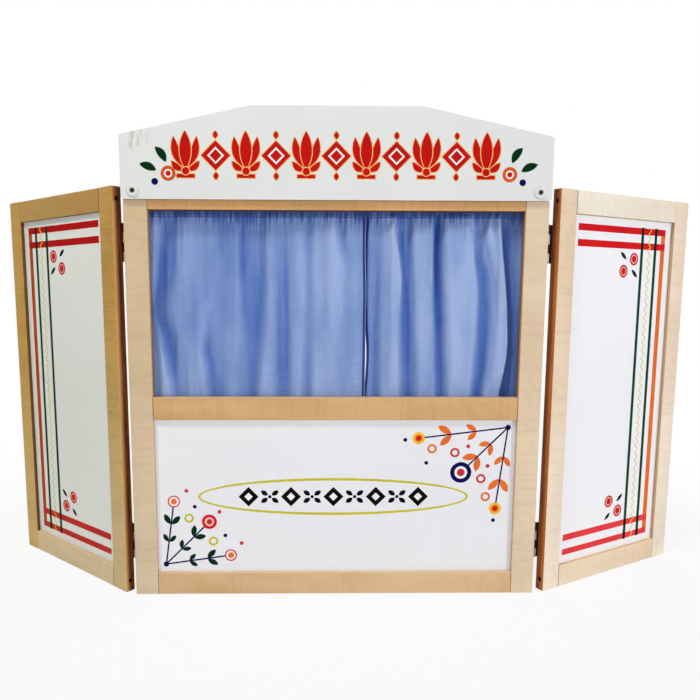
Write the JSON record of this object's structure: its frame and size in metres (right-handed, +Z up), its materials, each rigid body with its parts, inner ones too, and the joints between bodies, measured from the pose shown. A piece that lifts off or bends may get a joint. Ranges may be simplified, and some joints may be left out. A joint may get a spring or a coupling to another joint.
{
  "type": "puppet theater stand",
  "caption": "Tabletop puppet theatre stand: framed stage window with a gathered curtain, lower panel, gabled header board and folding side wings.",
  "frame": {"origin": "middle of the bottom rail's underside, halfway through the thickness of the frame, on the surface that the stand rests on", "axes": "+X to the right as the audience sees it, +Y away from the audience, +Z up"},
  "size_m": [1.3543, 0.2582, 0.847],
  "materials": {
    "birch_plywood": "clear satin lacquer on birch plywood, plies dark on the cut edges",
    "white_board": "thin hardboard with a smooth white satin face, printed with coloured ornament",
    "white_plastic": "smooth moulded plastic",
    "curtain_cloth": "thin blue lining satin with a soft sheen",
    "zinc_steel": "bright zinc plate",
    "joint_screw": "dull plated steel"
  },
  "bodies": {
    "frame": {"frame_left_stile": "birch_plywood", "frame_right_stile": "birch_plywood", "frame_bottom_rail": "birch_plywood", "frame_middle_rail": "birch_plywood", "frame_top_rail": "birch_plywood", "lower_panel": "white_board", "frame_bottom_left_screw": "joint_screw", "frame_bottom_right_screw": "joint_screw", "frame_middle_left_screw": "joint_screw", "frame_middle_right_screw": "joint_screw", "frame_top_left_screw": "joint_screw", "frame_top_right_screw": "joint_screw", "header_board": "white_board", "header_left_washer": "white_plastic", "header_right_washer": "white_plastic", "header_left_screw": "joint_screw", "header_right_screw": "joint_screw", "curtain_rod": "zinc_steel", "left_rod_eye": "zinc_steel", "right_rod_eye": "zinc_steel", "left_lower_hinge_frame_leaf": "zinc_steel", "left_lower_hinge_pin": "zinc_steel", "left_upper_hinge_frame_leaf": "zinc_steel", "left_upper_hinge_pin": "zinc_steel", "right_lower_hinge_frame_leaf": "zinc_steel", "right_lower_hinge_pin": "zinc_steel", "right_upper_hinge_frame_leaf": "zinc_steel", "right_upper_hinge_pin": "zinc_steel"},
    "left_wing": {"left_wing_outer_stile": "birch_plywood", "left_wing_inner_stile": "birch_plywood", "left_wing_bottom_rail": "birch_plywood", "left_wing_top_rail": "birch_plywood", "left_wing_panel": "white_board", "left_wing_bottom_outer_screw": "joint_screw", "left_wing_bottom_inner_screw": "joint_screw", "left_wing_top_outer_screw": "joint_screw", "left_wing_top_inner_screw": "joint_screw", "left_lower_hinge_wing_leaf": "zinc_steel", "left_upper_hinge_wing_leaf": "zinc_steel"},
    "right_wing": {"right_wing_inner_stile": "birch_plywood", "right_wing_outer_stile": "birch_plywood", "right_wing_bottom_rail": "birch_plywood", "right_wing_top_rail": "birch_plywood", "right_wing_panel": "white_board", "right_wing_bottom_inner_screw": "joint_screw", "right_wing_bottom_outer_screw": "joint_screw", "right_wing_top_inner_screw": "joint_screw", "right_wing_top_outer_screw": "joint_screw", "right_lower_hinge_wing_leaf": "zinc_steel", "right_upper_hinge_wing_leaf": "zinc_steel"},
    "left_curtain_half": {"left_curtain": "curtain_cloth"},
    "right_curtain_half": {"right_curtain": "curtain_cloth"}
  },
  "joints": [
    {"name": "left_wing_fold", "type": "hinge", "parent": "frame", "child": "left_wing", "pos_m": [-0.3635, 0.0123, 0], "axis": [0, 0, -1], "range_deg": [-53, 118]},
    {"name": "right_wing_fold", "type": "hinge", "parent": "frame", "child": "right_wing", "pos_m": [0.366, 0.0123, 0], "axis": [0, 0, 1], "range_deg": [-54, 129]},
    {"name": "left_curtain_draw", "type": "slide", "parent": "frame", "child": "left_curtain_half", "axis": [-1, 0, 0], "range_m": [0, 0.26], "deforming": ["left_curtain"]},
    {"name": "right_curtain_draw", "type": "slide", "parent": "frame", "child": "right_curtain_half", "axis": [1, 0, 0], "range_m": [0, 0.165], "deforming": ["right_curtain"]}
  ]
}
